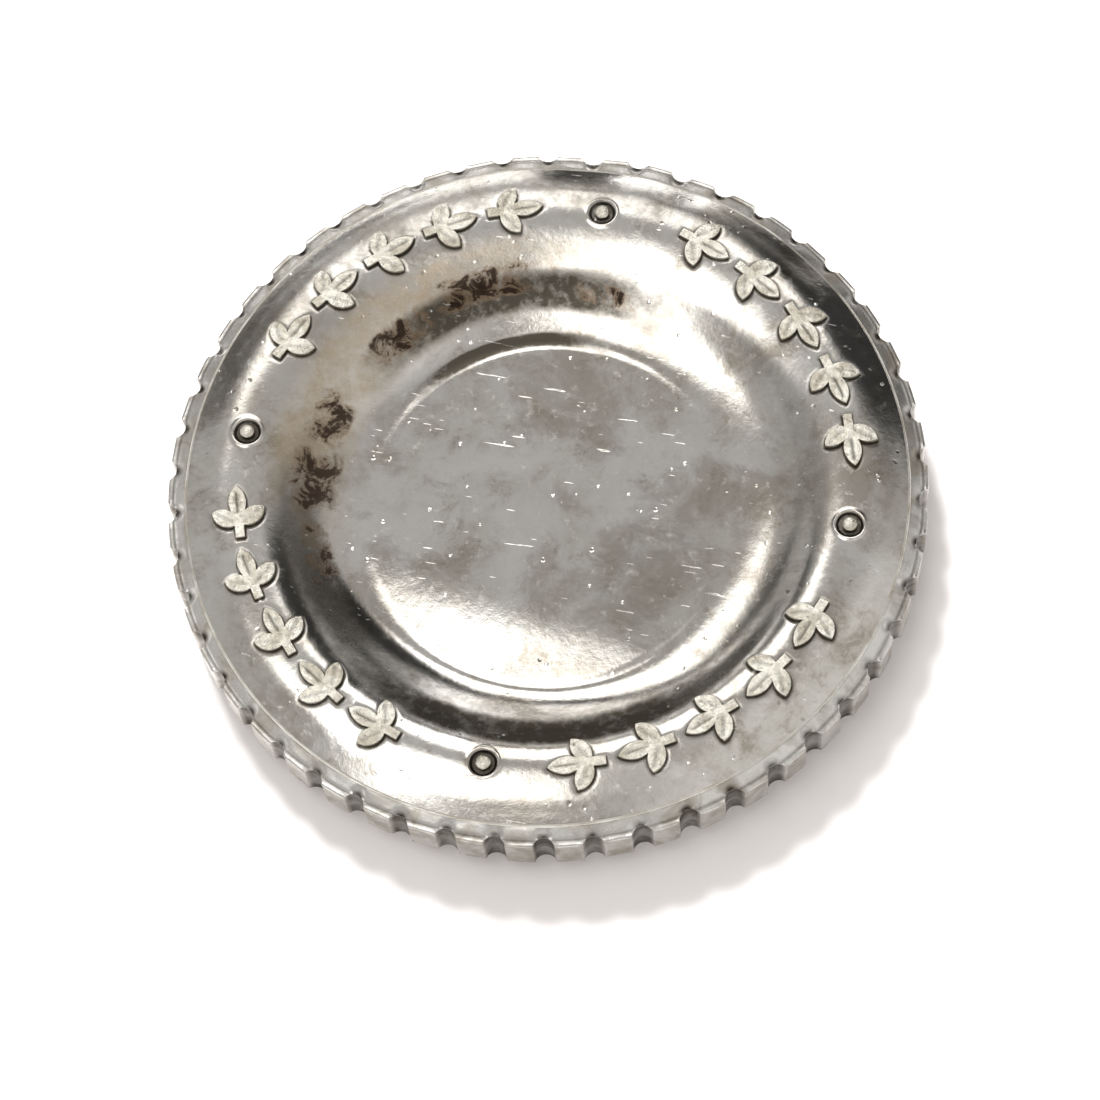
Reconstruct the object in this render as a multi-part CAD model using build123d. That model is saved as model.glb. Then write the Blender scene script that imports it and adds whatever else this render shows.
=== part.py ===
from build123d import *
import os
from math import atan, cos, degrees, radians, sin, tan

# Two-faced coin-type golf ball marker, worked in silver sheet.  Two dished faces lie back to back,
# their well floors sweated together.  Their puffed borders run out to conical skirts that seat on a
# fluted rim ring, so a closed hollow runs round under the borders.  Raised figures stand on both
# borders, with a pellet in a punched seat at each quarter.
#
# Frame: the marker lies on its reverse.  Z is its axis, Z = 0 is the plane it rests on, the origin
# is below the middle of the well, and the pellets of the obverse lie on the X and Y axes.
# All lengths are in millimetres and all angles in degrees.

# ---------------------------------------------------------------- driving dimensions
marker_diameter = 25.4          # over the lands of the rim
crest_height = 1.40             # top of the sheet border above the middle plane
sheet_thickness = 0.35          # of both faces

floor_diameter = 12.2           # flat part of the well floor
crest_diameter = 20.4           # circle along which the border stands highest
crest_inner_bend = 3.2          # radius of the border where it turns down into the well

skirt_slope = 20.0              # fall of the border's outer edge
skirt_width = 0.50              # straight part of that edge, which rests on the rim
rim_wall = 0.60                 # silver outside the skirt, through which the flutes are cut
rim_ledge = 0.55                # width of the conical ledge under the skirt
land_edge_round = 0.05          # broken edge along the top of each land

flute_count = 50
flute_radius = 0.36             # of the round cutter
flute_depth = 0.28              # below the lands

solder_gap = 0.08               # between skirt and rim wall, filled with solder
sweat_film = 0.06               # solder between the two well floors
sweat_margin = 0.40             # bare edge left round that film

figure_rise = 0.20              # of the raised figures above the sheet
figure_wear = 0.05              # rubbed off their tops, which leaves them flat along the crest
figures_per_group = 5
figure_first = 21.5             # from a pellet to the middle of the first figure after it
figure_pitch = 12.9             # from one figure of a group to the next

sprig_length = 1.90             # along the border
sprig_span = 1.75               # across the border
sprig_stem = 0.30
sprig_leaf_width = 0.58
sprig_leaf_angle = 58.0         # of the side leaves to the stem

lozenge_length = 1.70           # along the border
lozenge_span = 1.75             # across the border
lozenge_stroke = 0.34           # of its raised outline

pellet_count = 4
pellet_diameter = 0.54
pellet_proud = 0.10             # above the crest of the sheet
pellet_crown = 0.12             # height of its rounded top
seat_diameter = 0.92
seat_depth = 0.15

# ---------------------------------------------------------------- sizes that follow
rim_radius = marker_diameter / 2
floor_radius = floor_diameter / 2
crest_radius = crest_diameter / 2
wall_radius = rim_radius - rim_wall              # upright wall that the skirt faces
skirt_radius = wall_radius - solder_gap          # trimmed edge of each face
skirt_start = skirt_radius - skirt_width         # where the outer bend ends
floor_height = sweat_film / 2 + sheet_thickness  # well floor above the middle plane
figure_top = crest_height + figure_rise - figure_wear
half_thickness = figure_top
pellet_top = crest_height + pellet_proud

# The well wall is two tangent bends, so its slope follows from its rise and its run.
well_slope = 2 * degrees(atan((crest_height - floor_height) / (crest_radius - floor_radius)))
both_well_bends = (crest_radius - floor_radius) / sin(radians(well_slope))
cove_bend = both_well_bends - crest_inner_bend
crest_outer_bend = (skirt_start - crest_radius) / sin(radians(skirt_slope))

fall = tan(radians(skirt_slope))
skirt_start_height = crest_height - crest_outer_bend * (1 - cos(radians(skirt_slope)))
upright_sheet = sheet_thickness / cos(radians(skirt_slope))   # skirt measured straight down


def border_height(radius):
    """Top of the skirt, and of the rim's shoulder in line with it, above the middle plane."""
    return skirt_start_height - (radius - skirt_start) * fall


# ---------------------------------------------------------------- the sheet faces
def sheet_profile(depth):
    """Draw the face's outline at a depth under its top and return its outer end."""
    floor = Line((0, floor_height - depth), (floor_radius, floor_height - depth))
    cove = JernArc(floor @ 1, (1, 0), cove_bend + depth, well_slope)
    shoulder = JernArc(cove @ 1, cove % 1, crest_inner_bend - depth, -well_slope)
    border = JernArc(shoulder @ 1, (1, 0), crest_outer_bend - depth, -skirt_slope)
    end = (skirt_radius, border_height(skirt_radius) - depth / cos(radians(skirt_slope)))
    Line(border @ 1, end)
    return end


def sheet_layer(upper_depth, lower_depth):
    """Revolve the layer between two depths of the sheet profile."""
    with BuildPart() as layer:
        with BuildSketch(Plane.XZ):
            with BuildLine():
                upper_end = sheet_profile(upper_depth)
                lower_end = sheet_profile(lower_depth)
                Line((0, floor_height - upper_depth), (0, floor_height - lower_depth))
                Line(upper_end, lower_end)
            make_face()
        revolve(axis=Axis.Z)
    return layer.part


def dished_face():
    """One struck face with the round seats of its pellets."""
    with BuildPart() as face:
        add(sheet_layer(0, sheet_thickness))
        with Locations((0, 0, crest_height - seat_depth)):
            with PolarLocations(crest_radius, pellet_count):
                Cylinder(
                    seat_diameter / 2, seat_depth + figure_rise, mode=Mode.SUBTRACT,
                    align=(Align.CENTER, Align.CENTER, Align.MIN),
                )
    return face.part


# ---------------------------------------------------------------- rim and solder
def fluted_rim():
    """The ring that both faces seat on, with its flutes run through the shoulders."""
    bore_radius = skirt_radius - rim_ledge
    ledge_in = border_height(bore_radius) - upright_sheet
    ledge_out = border_height(wall_radius) - upright_sheet
    upper_half = [
        (bore_radius, ledge_in),
        (wall_radius, ledge_out),
        (wall_radius, border_height(wall_radius)),
        (rim_radius - land_edge_round, border_height(rim_radius - land_edge_round)),
        (rim_radius, border_height(rim_radius) - land_edge_round),
    ]
    lower_half = [(radius, -height) for radius, height in reversed(upper_half)]
    cutter_offset = flute_radius - flute_depth
    with BuildPart() as rim:
        with BuildSketch(Plane.XZ):
            with BuildLine():
                Polyline(*upper_half, *lower_half, close=True)
            make_face()
        revolve(axis=Axis.Z)
        with PolarLocations(rim_radius + cutter_offset, flute_count):
            Cylinder(flute_radius, 2 * crest_height, mode=Mode.SUBTRACT)
    return rim.part


def rim_solder():
    """The solder that fills the gap between a skirt's edge and the rim wall."""
    top_in, top_out = border_height(skirt_radius), border_height(wall_radius)
    with BuildPart() as seam:
        with BuildSketch(Plane.XZ):
            with BuildLine():
                Polyline(
                    (skirt_radius, top_in - upright_sheet), (wall_radius, top_out - upright_sheet),
                    (wall_radius, top_out), (skirt_radius, top_in), close=True,
                )
            make_face()
        revolve(axis=Axis.Z)
    return seam.part


def well_solder():
    """The film of solder that holds the two well floors back to back."""
    with BuildPart() as film:
        Cylinder(floor_radius - sweat_margin, sweat_film)
    return film.part


# ---------------------------------------------------------------- raised figures and pellets
def leaf(length, width):
    """A pointed leaf lying along local X from the origin."""
    with BuildSketch() as outline:
        with BuildLine():
            ThreePointArc((0, 0), (length / 2, width / 2), (length, 0))
            ThreePointArc((length, 0), (length / 2, -width / 2), (0, 0))
        make_face()
    return outline.sketch


def sprig():
    """A stem with one leaf at its tip and one on each side, running along local X."""
    side_start = -sprig_length / 4
    side_length = sprig_span / 2 / sin(radians(sprig_leaf_angle))
    with BuildSketch() as outline:
        with Locations((-sprig_length / 4, 0)):
            Rectangle(sprig_length / 2, sprig_stem)
        add(leaf(sprig_length / 2 + sprig_stem, sprig_leaf_width).moved(Location((-sprig_stem, 0))))
        for turn in (sprig_leaf_angle, -sprig_leaf_angle):
            add(leaf(side_length, sprig_leaf_width).moved(Location((side_start, 0), turn)))
    return outline.sketch


def lozenge():
    """An open lozenge with its long diagonal across the border."""
    half_length, half_span = lozenge_length / 2, lozenge_span / 2
    inset = lozenge_stroke / sin(atan(half_span / half_length))
    inner_share = 1 - inset / half_length
    with BuildSketch() as outline:
        for share, how in ((1, Mode.ADD), (inner_share, Mode.SUBTRACT)):
            with BuildLine():
                Polyline(
                    (half_length * share, 0), (0, half_span * share),
                    (-half_length * share, 0), (0, -half_span * share), close=True,
                )
            make_face(mode=how)
    return outline.sketch


def figure_angles():
    """Middle of each figure, in groups that run clockwise from pellet to pellet."""
    for group in range(pellet_count):
        for place in range(figures_per_group):
            yield 360 / pellet_count * group - figure_first - figure_pitch * place


def raised_figures(outline):
    """One raised figure at each place, with its underside fitted to the border."""
    border = sheet_layer(-figure_rise, 0)
    figures = []
    for angle in figure_angles():
        place = Rot(Z=angle) * Pos(crest_radius, 0, 0) * Rot(Z=-90)
        prism = extrude(place * outline, amount=figure_top)
        figures += (prism & border).solids()
    return Compound(children=figures)


def pellets():
    """The pellets, each a short round stub with a rounded top, in their seats."""
    foot = crest_height - seat_depth
    side_top = pellet_top - pellet_crown
    radius = pellet_diameter / 2
    crown_radius = (radius ** 2 + pellet_crown ** 2) / (2 * pellet_crown)
    with BuildPart() as stub:
        with BuildSketch(Plane.XZ):
            with BuildLine():
                Polyline((0, pellet_top), (0, foot), (radius, foot), (radius, side_top))
                RadiusArc((radius, side_top), (0, pellet_top), -crown_radius)
            make_face()
        revolve(axis=Axis.Z)
    turns = [360 / pellet_count * quarter for quarter in range(pellet_count)]
    return Compound(children=[Rot(Z=turn) * Pos(crest_radius, 0, 0) * stub.part for turn in turns])


# ---------------------------------------------------------------- assembly
def on_obverse(piece):
    """Lift a piece from the middle plane to the marker's own frame."""
    return Pos(0, 0, half_thickness) * piece


def on_reverse(piece):
    """Turn a piece over to the reverse, then lift it to the marker's own frame."""
    return Pos(0, 0, half_thickness) * Rot(X=180) * piece


nodes = {
    "obverse_face": on_obverse(dished_face()),
    "reverse_face": on_reverse(dished_face()),
    "fluted_rim": on_obverse(fluted_rim()),
    "well_solder": on_obverse(well_solder()),
    "obverse_rim_solder": on_obverse(rim_solder()),
    "reverse_rim_solder": on_reverse(rim_solder()),
    "obverse_sprigs": on_obverse(raised_figures(sprig())),
    "reverse_lozenges": on_reverse(raised_figures(lozenge())),
    "obverse_pellets": on_obverse(pellets()),
    "reverse_pellets": on_reverse(pellets()),
}

os.makedirs("parts", exist_ok=True)
for name, shape in nodes.items():
    export_step(shape, f"parts/{name}.step")
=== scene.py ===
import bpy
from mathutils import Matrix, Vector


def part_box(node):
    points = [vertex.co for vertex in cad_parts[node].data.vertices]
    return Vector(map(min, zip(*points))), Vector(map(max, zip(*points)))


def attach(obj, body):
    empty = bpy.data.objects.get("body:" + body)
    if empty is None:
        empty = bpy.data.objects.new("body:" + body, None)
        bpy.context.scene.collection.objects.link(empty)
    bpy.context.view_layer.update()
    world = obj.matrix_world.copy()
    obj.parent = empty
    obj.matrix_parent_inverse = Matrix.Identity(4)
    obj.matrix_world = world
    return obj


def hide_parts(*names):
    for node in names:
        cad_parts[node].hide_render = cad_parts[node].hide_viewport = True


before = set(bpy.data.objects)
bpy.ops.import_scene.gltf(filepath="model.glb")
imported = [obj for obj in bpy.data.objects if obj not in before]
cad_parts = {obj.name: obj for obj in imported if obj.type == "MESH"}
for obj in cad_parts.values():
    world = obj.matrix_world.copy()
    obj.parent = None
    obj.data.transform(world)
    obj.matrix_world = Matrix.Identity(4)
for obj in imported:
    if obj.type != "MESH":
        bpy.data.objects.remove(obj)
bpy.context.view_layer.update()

import math
import random

import bmesh
import bpy
from bpy.props import FloatProperty, FloatVectorProperty, IntProperty, PointerProperty
from mathutils import Matrix, Vector, noise
from mathutils.bvhtree import BVHTree

bl_info = {
    "name": "Silver ball marker",
    "version": (1, 0, 0),
    "blender": (4, 5, 0),
    "location": "3D View > Sidebar > Marker",
    "description": "Builds the worn silver pieces of a two-faced ball marker and its studio",
    "category": "Object",
}

MM = 0.001
TAU = 2 * math.pi

# The marker is worked about its middle plane, then lifted onto the floor.
RIM_LOW, RIM_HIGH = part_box("fluted_rim")
FILM_LOW, FILM_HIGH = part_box("well_solder")
FACE_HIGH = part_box("obverse_face")[1]
MIDDLE = (RIM_LOW.z + RIM_HIGH.z) / 2
RIM_RADIUS = RIM_HIGH.y
SKIRT_RADIUS = FACE_HIGH.x
WALL_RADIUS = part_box("obverse_rim_solder")[1].x
CREST_HEIGHT = FACE_HIGH.z - MIDDLE
FIGURE_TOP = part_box("obverse_sprigs")[1].z - MIDDLE
PELLET_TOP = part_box("obverse_pellets")[1].z - MIDDLE
FILM_HALF = (FILM_HIGH.z - FILM_LOW.z) / 2

WELD = 0.0005 * MM           # vertices nearer than this are made one
FIGURE_WELD = 0.002 * MM     # the same on the outlines of the figures
CUT_SNAP = 0.0004 * MM       # a cut that passes nearer to a vertex than this goes through it


# ------------------------ what a user would change
class MarkerSizes(bpy.types.PropertyGroup):
    """Sizes of the worked silver."""

    sheet: FloatProperty(
        name="Sheet", description="Thickness of both faces", default=0.35 * MM, unit="LENGTH", precision=5)
    floor_radius: FloatProperty(
        name="Floor radius", description="Flat part of the well floor",
        default=6.1 * MM, unit="LENGTH", precision=5)
    crest_radius: FloatProperty(
        name="Crest radius", description="Circle along which the border stands highest",
        default=10.2 * MM, unit="LENGTH", precision=5)
    crest_inner_bend: FloatProperty(
        name="Inner bend", description="Radius of the border where it turns down into the well",
        default=3.2 * MM, unit="LENGTH", precision=5)
    skirt_slope: FloatProperty(
        name="Skirt slope", description="Fall of the border's outer edge",
        default=math.radians(20), subtype="ANGLE")
    skirt_width: FloatProperty(
        name="Skirt width", description="Straight part of the border's outer edge",
        default=0.5 * MM, unit="LENGTH", precision=5)
    figure_rise: FloatProperty(
        name="Figure rise", description="Height of the raised figures above the sheet",
        default=0.2 * MM, unit="LENGTH", precision=5)
    flutes: IntProperty(name="Flutes", description="Grooves round the rim", default=50, min=3)
    flute_radius: FloatProperty(
        name="Flute radius", description="Radius of the round cutter",
        default=0.36 * MM, unit="LENGTH", precision=5)
    flute_depth: FloatProperty(
        name="Flute depth", description="Depth of the grooves below the lands",
        default=0.28 * MM, unit="LENGTH", precision=5)
    unevenness: FloatProperty(
        name="Unevenness", description="How far hand work and wear leave the sheet from true",
        default=0.022 * MM, unit="LENGTH", precision=6)


class MarkerColours(bpy.types.PropertyGroup):
    """Colours of the metal and of the studio."""

    silver: FloatVectorProperty(
        name="Silver", description="Bright rubbed silver",
        default=(0.76, 0.742, 0.71), subtype="COLOR", size=3)
    haze: FloatVectorProperty(
        name="Haze", description="Silver under a thin film of tarnish",
        default=(0.46, 0.427, 0.37), subtype="COLOR", size=3)
    # Tarnish, and painted shade: this colour also darkens corners, recesses, flutes, seats and the feet of
    # the figures, where shade falls.
    tarnish: FloatVectorProperty(
        name="Tarnish", description="Old tarnish in corners",
        default=(0.075, 0.066, 0.052), subtype="COLOR", size=3)
    stain: FloatVectorProperty(
        name="Stain", description="Dark stains in the well",
        default=(0.035, 0.022, 0.016), subtype="COLOR", size=3)
    floor: FloatVectorProperty(
        name="Floor", description="Pale studio floor",
        default=(0.93, 0.90, 0.89), subtype="COLOR", size=3)


def sizes():
    return bpy.context.scene.marker_sizes


def colours():
    return bpy.context.scene.marker_colours


# ------------------------ the border's curve
class BorderCurve:
    """The bends of a face, worked out once from its sizes."""

    def __init__(self):
        s = sizes()
        self.floor_height = FILM_HALF + s.sheet
        rise, run = CREST_HEIGHT - self.floor_height, s.crest_radius - s.floor_radius
        self.well_slope = 2 * math.atan(rise / run)
        self.inner = s.crest_inner_bend
        self.cove = run / math.sin(self.well_slope) - self.inner
        self.skirt_start = SKIRT_RADIUS - s.skirt_width
        self.outer = (self.skirt_start - s.crest_radius) / math.sin(s.skirt_slope)
        self.skirt_start_height = CREST_HEIGHT - self.outer * (1 - math.cos(s.skirt_slope))
        self.cove_end = s.floor_radius + self.cove * math.sin(self.well_slope)
        self.upright = s.sheet / math.cos(s.skirt_slope)   # the skirt measured straight down

    def height(self, radius):
        """Top of the sheet, and of the rim's shoulder in line with it, above the middle plane."""
        s = sizes()
        if radius < s.floor_radius:
            return self.floor_height
        if radius < self.cove_end:
            drop = math.sqrt(self.cove ** 2 - (radius - s.floor_radius) ** 2)
            return self.floor_height + self.cove - drop
        if radius < s.crest_radius:
            rise = math.sqrt(self.inner ** 2 - (s.crest_radius - radius) ** 2)
            return CREST_HEIGHT - self.inner + rise
        if radius < self.skirt_start:
            rise = math.sqrt(self.outer ** 2 - (radius - s.crest_radius) ** 2)
            return CREST_HEIGHT - self.outer + rise
        return self.skirt_start_height - (radius - self.skirt_start) * math.tan(s.skirt_slope)


# ------------------------ mesh tools
def spun_tip(bm, vert, centre, axis, angle, steps):
    """Draw an arc from a vertex and return the vertex at its end."""
    arc = bmesh.ops.spin(bm, geom=[vert], cent=centre, axis=axis, angle=angle, steps=steps)
    return next(g for g in arc["geom_last"] if isinstance(g, bmesh.types.BMVert))


def flat_radius(place):
    """Distance from the marker's axis."""
    return place.xy.length


class Section:
    """A profile in the XZ plane, drawn by moving its last vertex along and round."""

    def __init__(self, bm, x, z, heading=0.0):
        self.bm = bm
        self.tip = bm.verts.new((x, 0, z))
        self.heading = heading

    def run(self, length, steps=1):
        """Go straight on."""
        step = Vector((math.cos(self.heading), 0, math.sin(self.heading))) * (length / steps)
        for _ in range(steps):
            tip = bmesh.ops.extrude_vert_indiv(self.bm, verts=[self.tip])["verts"][0]
            bmesh.ops.translate(self.bm, verts=[tip], vec=step)
            self.tip = tip

    def reach(self, x, z, steps=1):
        """Go straight to a point."""
        way = Vector((x, 0, z)) - self.tip.co
        self.heading = math.atan2(way.z, way.x)
        self.run(way.length, steps)

    def bend(self, radius, turn, steps):
        """Go round an arc, to the left if turn is positive."""
        side = math.copysign(radius, turn)
        centre = self.tip.co + Vector((-math.sin(self.heading), 0, math.cos(self.heading))) * side
        self.tip = spun_tip(self.bm, self.tip, centre, (0, -1, 0), turn, steps)
        self.heading += turn


def turn_round(bm, steps, sectors=20):
    """Spin everything drawn so far into a sector, and repeat that into a closed ring or dish."""
    about = {"cent": (0, 0, 0), "axis": (0, 0, 1)}
    bmesh.ops.spin(
        bm, geom=bm.verts[:] + bm.edges[:], angle=TAU / sectors, steps=steps // sectors, **about)
    bmesh.ops.spin(
        bm, geom=bm.verts[:] + bm.edges[:] + bm.faces[:], angle=TAU * (sectors - 1) / sectors,
        steps=sectors - 1, use_duplicate=True, **about)
    bmesh.ops.remove_doubles(bm, verts=bm.verts, dist=WELD)
    bmesh.ops.recalc_face_normals(bm, faces=bm.faces)


def settle(obverse):
    """Matrix that takes a piece from the middle plane to its side of the marker."""
    turn = Matrix() if obverse else Matrix.Rotation(math.pi, 4, "X")
    return Matrix.Translation((0, 0, MIDDLE)) @ turn


def new_object(bm, name):
    """Put a bmesh into the scene."""
    mesh = bpy.data.meshes.new(name)
    bm.to_mesh(mesh)
    bm.free()
    thing = bpy.data.objects.new(name, mesh)
    bpy.context.collection.objects.link(thing)
    return thing


def make_piece(bm, name, paint, node, matrix, sharp=38):
    """Turn a bmesh into a finished piece that stands for a CAD node."""
    bmesh.ops.transform(bm, matrix=matrix, verts=bm.verts)
    piece = new_object(bm, name)
    mesh = piece.data
    for polygon in mesh.polygons:
        polygon.use_smooth = True
    mesh.set_sharp_from_angle(angle=math.radians(sharp))
    mesh.materials.append(finish(paint))
    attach(piece, "root")
    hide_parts(node)


def ripple(place, wavelength, seed):
    """Smooth noise from -1 to 1 that repeats over about a wavelength."""
    return noise.noise(place / wavelength + Vector((seed * 7.3, seed * 3.1, seed * 5.7)))


def smooth_step(value, low, high):
    """0 below low, 1 above high and smooth between."""
    share = min(max((value - low) / (high - low), 0.0), 1.0)
    return share * share * (3 - 2 * share)


# ------------------------ shader tools
class Signal:
    """A shader socket that takes part in sums as a number does."""

    def __init__(self, finish, socket):
        self.finish = finish
        self.socket = socket

    def math(self, operation, first, second=0.0, clamp=False):
        return self.finish.node(
            "Math", {"operation": operation, "use_clamp": clamp}, {0: first, 1: second})

    def __add__(self, other):
        return self.math("ADD", self, other)

    def __mul__(self, other):
        return self.math("MULTIPLY", self, other)

    def __sub__(self, other):
        return self.math("SUBTRACT", self, other)

    def __rsub__(self, other):
        return self.math("SUBTRACT", other, self)

    __radd__ = __add__
    __rmul__ = __mul__

    def clamped(self):
        return self.math("ADD", self, 0.0, clamp=True)

    def or_more(self, other):
        """The greater of two signals."""
        return self.math("MAXIMUM", self, other)

    def between(self, low, high):
        """0 below low, 1 above high and smooth between."""
        return self.finish.node(
            "MapRange", {"interpolation_type": "SMOOTHSTEP"},
            {0: self, 1: low, 2: high, 3: 0.0, 4: 1.0})


class Finish:
    """A material under construction."""

    def __init__(self, owner):
        owner.use_nodes = True
        self.owner = owner
        self.tree = owner.node_tree
        self.tree.nodes.clear()

    def node(self, kind, settings=None, inputs=None, output=0):
        """Add a node and return one of its outputs."""
        node = self.tree.nodes.new("ShaderNode" + kind)
        for key, value in (settings or {}).items():
            setattr(node, key, value)
        for key, value in (inputs or {}).items():
            if isinstance(value, Signal):
                self.tree.links.new(value.socket, node.inputs[key])
            else:
                node.inputs[key].default_value = value
        return Signal(self, node.outputs[output]) if node.outputs else node

    def blend(self, factor, first, second, mode="MIX"):
        """Mix two colours."""
        first, second = (
            colour if isinstance(colour, Signal) else (*colour, 1.0) for colour in (first, second))
        return self.node(
            "Mix", {"data_type": "RGBA", "blend_type": mode},
            {0: factor, 6: first, 7: second}, output=2)

    def place(self):
        """Object coordinates."""
        return self.node("TexCoord", output=3)

    def attribute(self, name):
        return self.node("Attribute", {"attribute_name": name}, output=2)

    def cloud(self, where, scale, detail=6.0, roughness=0.6, distortion=0.0):
        """Fractal noise with so many features in a metre."""
        return self.node("TexNoise", {"normalize": True}, {
            "Vector": where, "Scale": scale, "Detail": detail, "Roughness": roughness,
            "Distortion": distortion})

    def specks(self, where, scale, edge):
        """Small round specks, one in each cell."""
        cells = self.node(
            "TexVoronoi", {"feature": "F1"}, {"Vector": where, "Scale": scale, "Randomness": 1.0})
        return 1.0 - cells.between(0.05, edge)

    def scratches(self, where, angle, along, across, keep):
        """Fine straight lines at an angle, kept only where the noise is high."""
        turned = self.node(
            "Mapping", {"vector_type": "POINT"},
            {"Vector": where, "Rotation": (0, 0, angle), "Scale": (along, across, across)})
        return self.cloud(turned, 1.0, 2.0, 0.5, 0.15).between(keep, keep + 0.05)

    def bump(self, height, strength, distance):
        return self.node(
            "Bump", None, {"Height": height, "Strength": strength, "Distance": distance})

    def metal(self, colour, roughness, normal):
        """Close the material with a metal shader."""
        shader = self.node("BsdfPrincipled", None, {
            "Base Color": colour, "Metallic": 1.0, "Roughness": roughness, "Normal": normal})
        self.node("OutputMaterial", None, {"Surface": shader})


# Scales are features in a metre.
CLOUD_SCALE, PATCH_SCALE, MOTTLE_SCALE, GRAIN_SCALE = 190.0, 620.0, 2300.0, 5200.0
SMEAR_SCALE, CURD_SCALE = 330.0, 1250.0
PIT_SCALE, BEAD_SCALE = 1500.0, 2100.0
RELIEF = 0.012 * MM               # depth of the fine relief in the metal's skin
FROST_RELIEF = 0.026 * MM         # the same on the figures
SCRATCHES = (                     # angle, scale along and across, and how rare
    (0.35, 380.0, 9000.0, 0.76),
    (1.25, 480.0, 7600.0, 0.735),
    (-0.7, 420.0, 7600.0, 0.74),
    (2.4, 700.0, 7600.0, 0.74),
)
OLIVE_PATCH, GREY_SMEAR, RUBBED_FLECK = (0.26, 0.225, 0.17), (0.34, 0.295, 0.245), (0.88, 0.87, 0.84)
BROWN_FILM, STAIN_EDGE = (0.56, 0.45, 0.31), (0.22, 0.15, 0.095)
BARE_SCRATCH, DULL_PIT, BRIGHT_BEAD = (0.86, 0.85, 0.82), (0.30, 0.28, 0.25), (0.95, 0.94, 0.91)
RIM_FILM = (0.50, 0.42, 0.36)
FROST_PALE, FROST_DULL, FROST_GRAIN = (0.82, 0.80, 0.72), (0.52, 0.48, 0.40), (0.30, 0.27, 0.22)
SOLDER_PALE, SOLDER_DULL = (0.68, 0.66, 0.61), (0.44, 0.40, 0.34)


def worn_sheet_silver(f, c):
    """Worn, cloudy sheet with scratches, pits, tarnish and painted shade in the corners, and stains in the
    well.
    """
    where = f.place()
    clouds = f.cloud(where, CLOUD_SCALE, 7.0, 0.62, 0.4)
    patches = f.cloud(where, PATCH_SCALE, 8.0, 0.68, 0.4)
    mottle = f.cloud(where, MOTTLE_SCALE, 6.0, 0.7, 0.2)
    grain = f.cloud(where, GRAIN_SCALE, 4.0)
    smears = f.cloud(where, SMEAR_SCALE, 7.0, 0.68, 0.4)
    curds = f.cloud(where, CURD_SCALE, 10.0, 0.74, 0.6)
    corner, stain = f.attribute("tarnish"), f.attribute("stain")

    lines = f.scratches(where, *SCRATCHES[0])
    for scratch in SCRATCHES[1:]:
        lines = lines.or_more(f.scratches(where, *scratch))
    pits = f.specks(where, PIT_SCALE, 0.16) * f.cloud(where, 900.0, 2.0).between(0.56, 0.62)
    beads = f.specks(where, BEAD_SCALE, 0.17) * f.cloud(where, 1300.0, 3.0).between(0.55, 0.60)

    haze = clouds.between(0.38, 0.66) * 0.45 + patches.between(0.42, 0.66) * 0.35
    haze = (haze + mottle.between(0.45, 0.7) * 0.2).clamped()
    olive = (patches.between(0.52, 0.68) * mottle.between(0.40, 0.62) * 0.7).clamped()
    film = f.attribute("warmth") * (0.35 + patches.between(0.35, 0.65) * 0.65)
    # Darker and rougher in corners and recesses: tarnish, and painted shade.
    ragged = corner * 1.25 + (patches - 0.5) * 0.9 * corner + (mottle - 0.5) * 1.8 * corner
    ragged = ragged.clamped()
    curdled = stain * 0.72 + (curds - 0.49) * 4.6 * stain.between(0.02, 0.35)
    blotch = curdled.between(0.50, 0.85)

    colour = f.blend(haze, c.silver, c.haze)
    for share, tint in (
        (olive, OLIVE_PATCH),
        ((smears.between(0.48, 0.64) * 0.5).clamped(), GREY_SMEAR),
        ((mottle.between(0.56, 0.68) * 0.35).clamped(), RUBBED_FLECK),
        (film.clamped() * 0.75, BROWN_FILM),
        (ragged, c.tarnish),
        (curdled.between(0.0, 0.65) * 0.62, STAIN_EDGE),
        (blotch * 0.9, c.stain),
        (lines * 0.30, BARE_SCRATCH),
        (pits * 0.7, DULL_PIT),
        (beads * 0.8, BRIGHT_BEAD),
    ):
        colour = f.blend(share, colour, tint)

    rough = 0.04 + haze * 0.07 + mottle.between(0.5, 0.75) * 0.08 + f.attribute("frost") * 0.05
    rough = rough + ragged * 0.28 + blotch * 0.35 + film * 0.14 + lines * 0.10 + grain * 0.05
    height = grain * 0.30 + mottle * 0.9 + patches * 1.4 + beads * 2.4
    height = height - lines * 0.8 - pits * 2.0 - blotch * 0.5
    f.metal(colour, rough.clamped(), f.bump(height, 0.40, RELIEF))


def worn_rim_silver(f, c):
    """The same silver on the rim, rubbed on the lands and darker in the flutes, with dirt and painted
    shade.
    """
    where = f.place()
    patches = f.cloud(where, 900.0, 8.0, 0.66, 0.6)
    grain = f.cloud(where, GRAIN_SCALE, 4.0)
    corner = f.attribute("tarnish")
    haze = patches.between(0.40, 0.68)
    # Darker in the flutes and hollows: tarnish, and painted shade.
    ragged = (corner * 1.15 + (patches - 0.5) * 1.4 * corner).clamped()
    colour = f.blend(haze, c.silver, c.haze)
    colour = f.blend((patches.between(0.55, 0.72) * 0.4).clamped(), colour, RIM_FILM)
    colour = f.blend(ragged, colour, c.tarnish)
    rough = 0.20 + haze * 0.12 + ragged * 0.22 + grain * 0.06
    f.metal(colour, rough.clamped(), f.bump(grain * 0.5 + patches * 1.6, 0.35, RELIEF))


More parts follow.
